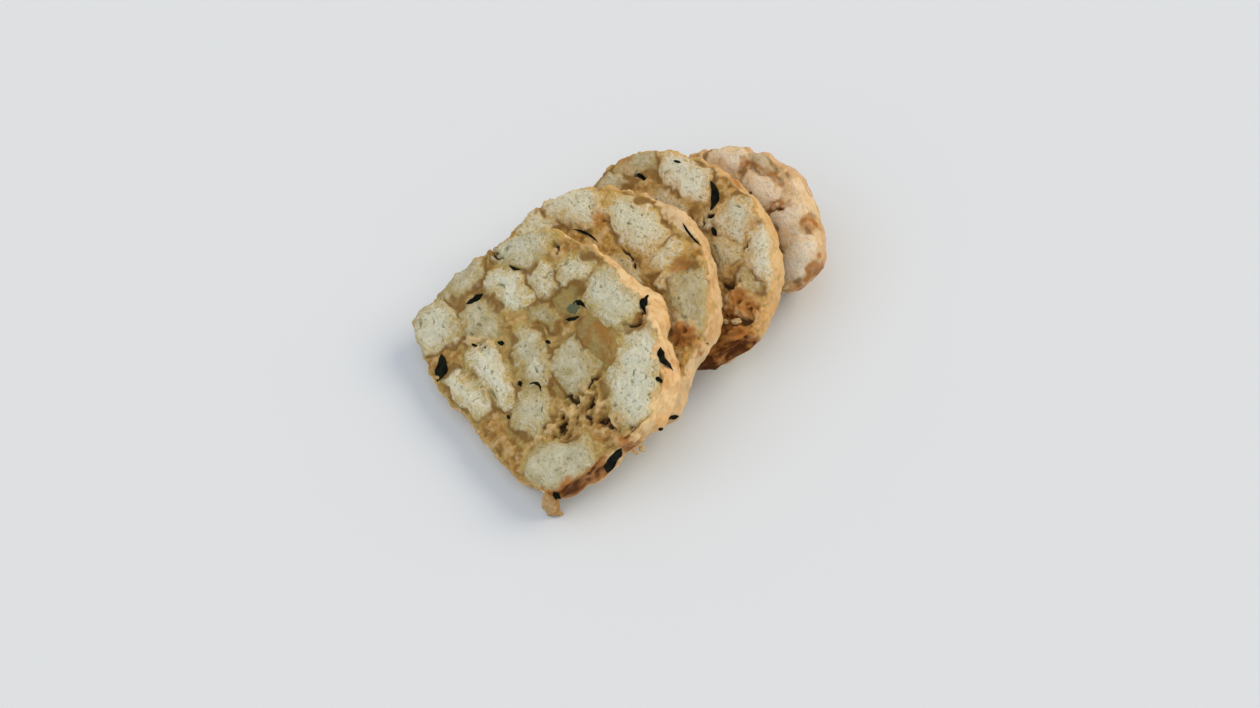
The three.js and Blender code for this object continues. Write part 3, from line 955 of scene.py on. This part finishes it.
bpy.context.view_layer.update()
leaves = SimpleNamespace(vertices=[], faces=[], paleness=[])
lay_flakes(leaves, front_slice, front_pose, FRONT_FLAKES, 0)
lay_flakes(leaves, front_slice, front_pose, FRONT_PALE_FLAKES, 1)
lay_flakes(leaves, front_slice, front_pose @ RIGHT_SIDE, FRONT_SIDE_FLAKES, 0)
lay_flakes(leaves, second_slice, second_pose, SECOND_FLAKES, 0)
lay_flakes(leaves, second_slice, second_pose @ RIGHT_SIDE, SECOND_SIDE_FLAKES, 0)
lay_flakes(leaves, third_slice, third_pose, THIRD_FLAKES, 0)
lay_flakes(leaves, heel, heel_pose, HEEL_FLAKES, 0)
flake_mesh = bpy.data.meshes.new("herb_flakes")
flake_mesh.from_pydata(leaves.vertices, [], leaves.faces)
herbs = bpy.data.objects.new("herb_flakes", flake_mesh)
paint(herbs, "paleness", np.array(leaves.paleness))
bpy.context.scene.collection.objects.link(herbs)
select_only(herbs)
bpy.ops.object.mode_set(mode="EDIT")
bpy.ops.mesh.select_all(action="SELECT")
bpy.ops.mesh.normals_make_consistent(inside=False)
bpy.ops.object.mode_set(mode="OBJECT")
# Cooked parsley leaf: dark green, nearly black where it is thick, and dull.
leaf = clouded(
    "cooked parsley leaf",
    cloud_size=3,
    light_range=(0.4, 0.7),
    dark="#0c0d08",
    light="#1f2315",
    layer="paleness",
    over="#62664c",
    roughness=0.7,
    specular=0.05,
)
herbs.data.materials.append(leaf)
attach(herbs, "root")

# Loose crumbs and torn strips of crust cling to the slices' edges. They are bits of the same bread, which
# came off as it was cut, and each is a small uneven lump.

# Crumbs on a cut face: across, up, out, radius along the face, radius over it, turn and how browned.
FRONT_CRUMBS = [
    (-21, 0.6, -1.4, 0.8, 0.6, 20, 0.2), (-12.5, 0.5, -1.2, 0.7, 0.5, 40, 0.3),
    (-6, 0, -1.3, 0.9, 0.6, 10, 0.15), (5, 0.2, -1.3, 0.8, 0.6, 30, 0.2),
    (16, 0.3, -1.2, 0.9, 0.6, 15, 0.2), (44.5, 36.5, -10, 1.2, 0.9, 0, 0.1),
    (43.5, 37.5, -7, 1.1, 0.8, 30, 0.5), (45.5, 34.5, -7, 1, 0.7, 30, 0.4),
]
THIRD_CRUMBS = [(36, 27.5, -0.6, 1.7, 0.9, 40, 0.1), (33, 25, -1, 1.1, 0.7, 10, 0.35)]
# Strips that hang from the front slice's corner to the floor: both ends in the part's frame, half width and
# how browned.
TORN_STRIPS = [
    ((-63.2, -40.2, 14), (-66.2, -41.4, 0.8), 2.2, 0.45), ((-65.6, -42, 3), (-62.6, -44, 0.8), 1, 0.5),
    ((-62.9, -41, 10), (-64.4, -43.4, 2.5), 1.1, 0.7),
]
# How uneven a crumb is, and how many of its lumps fit its radius.
CRUMB_UNEVENNESS = 0.6
CRUMB_LUMPS = 1.6


def add_crumb(middle, along, over, turn, browned):
    """An uneven lump of crumb at a place, with its two radii in metres, its turn and how browned it is."""
    bpy.ops.object.select_all(action="DESELECT")
    bpy.ops.mesh.primitive_ico_sphere_add(subdivisions=3, radius=1)
    crumb = bpy.context.object
    for vertex in crumb.data.vertices:
        vertex.co *= 1 + CRUMB_UNEVENNESS * noise.noise(vertex.co * CRUMB_LUMPS + middle / MM)
    crumb.data.transform(Matrix.LocRotScale(middle, turn, Vector((along, over, over))))
    bpy.ops.object.shade_smooth()
    paint(crumb, "browned", np.full(len(crumb.data.vertices), browned))
    settle(crumb)
    return crumb


def lay_crumbs(pose, crumbs):
    """Crumbs at their places on a cut face."""
    turn = pose.to_3x3().normalized()
    pieces = []
    for across, up, out, along, over, angle, browned in crumbs:
        middle = pose @ Vector((across, up, out))
        spin = turn @ Matrix.Rotation(math.radians(angle), 3, "Z")
        pieces.append(add_crumb(middle, along * MM, over * MM, spin.to_quaternion(), browned))
    return pieces


def hang_strips(strips):
    """Strips of crust, each drawn out from one end to the other."""
    pieces = []
    for top, foot, half_width, browned in strips:
        middle = (Vector(top) + Vector(foot)) / 2 * MM
        reach = (Vector(foot) - Vector(top)) / 2 * MM
        turn = reach.to_track_quat("X", "Z")
        pieces.append(add_crumb(middle, reach.length, half_width * MM, turn, browned))
    return pieces


crumb_pieces = lay_crumbs(front_pose, FRONT_CRUMBS)
crumb_pieces += lay_crumbs(third_pose, THIRD_CRUMBS)
crumb_pieces += hang_strips(TORN_STRIPS)
loose_crumbs = crumb_pieces[0]
select_only(loose_crumbs)
for crumb in crumb_pieces:
    crumb.select_set(True)
bpy.ops.object.join()
loose_crumbs.name = "loose_crumbs"
# Torn bread crumb: matt and pale, golden where it kept some crust.
torn = clouded(
    "torn bread crumb",
    cloud_size=1.2,
    light_range=(0.35, 0.65),
    dark="#b89a63",
    light="#d8c79c",
    layer="browned",
    over="#b0742f",
    roughness=0.85,
    specular=0.2,
)
loose_crumbs.data.materials.append(torn)
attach(loose_crumbs, "root")

# The floor is one flat sheet of plain pale studio paper, on which the row stands. It is so much larger than
# the row that its edge doesn't show.

FLOOR_SIZE = 6

bpy.ops.object.select_all(action="DESELECT")
bpy.ops.mesh.primitive_plane_add(size=FLOOR_SIZE)
floor = bpy.context.object
floor.name = "studio_floor"
# Matt paper: an even pale grey with hardly any gloss.
paper = bpy.data.materials.new("matt studio paper")
paper.use_nodes = True
paper_shader = paper.node_tree.nodes["Principled BSDF"]
paper_shader.inputs["Base Color"].default_value = linear("#dbe3ea")
paper_shader.inputs["Roughness"].default_value = 0.95
paper_shader.inputs["Specular IOR Level"].default_value = 0.1
floor.data.materials.append(paper)

# Soft studio light: a warm key from the right and behind, a cooler fill from the left and in front, and a
# pale even glow from all round.

VIEW_TURN = 36
GLOW_STRENGTH = 0.455


def toward(right, away, up):
    """A direction given as the camera sees the floor: to its right, away from it and up."""
    turned = Matrix.Rotation(math.radians(-VIEW_TURN), 3, "Z") @ Vector((right, away, up))
    return turned.normalized()


def add_sun(name, direction, strength, colour, spread):
    """Adds a far light that shines from a direction, spread over an angle."""
    light = bpy.data.lights.new(name, "SUN")
    light.energy = strength
    light.color = linear(colour)[:3]
    light.angle = math.radians(spread)
    lamp = bpy.data.objects.new(name, light)
    lamp.rotation_euler = direction.to_track_quat("Z", "Y").to_euler()
    bpy.context.scene.collection.objects.link(lamp)


add_sun("key", toward(0.85, 0.3, 0.8), strength=1.7, colour="#ffe6c4", spread=45)
add_sun("fill", toward(-0.4, -0.45, 0.9), strength=1.15, colour="#f2f4fb", spread=80)
world = bpy.data.worlds.new("studio")
bpy.context.scene.world = world
world.use_nodes = True
world.node_tree.nodes["Background"].inputs["Color"].default_value = linear("#f2f5fa")
world.node_tree.nodes["Background"].inputs["Strength"].default_value = GLOW_STRENGTH
bpy.context.scene.view_settings.view_transform = "Standard"

# The camera looks down steeply on the row from in front and from the front slice's right. Its focal length
# and the aim's offset are in pixels of the picture.

IMAGE_WIDTH = 1260
FOCAL_PIXELS = 2177
AIM_BELOW_MIDDLE = 8
AIM = Vector((-9.6, -6.84, 0)) * MM
DISTANCE = 716 * MM
ELEVATION = 51.3
NEAREST = 10 * MM

down = math.radians(ELEVATION)
away = toward(0, -math.cos(down), math.sin(down))
view = bpy.data.cameras.new("view")
view.sensor_width = 36
view.lens = FOCAL_PIXELS / IMAGE_WIDTH * view.sensor_width
view.shift_y = AIM_BELOW_MIDDLE / IMAGE_WIDTH
view.clip_start = NEAREST
camera = bpy.data.objects.new("camera", view)
camera.location = AIM + away * DISTANCE
camera.rotation_euler = away.to_track_quat("Z", "Y").to_euler()
bpy.context.scene.collection.objects.link(camera)
bpy.context.scene.camera = camera
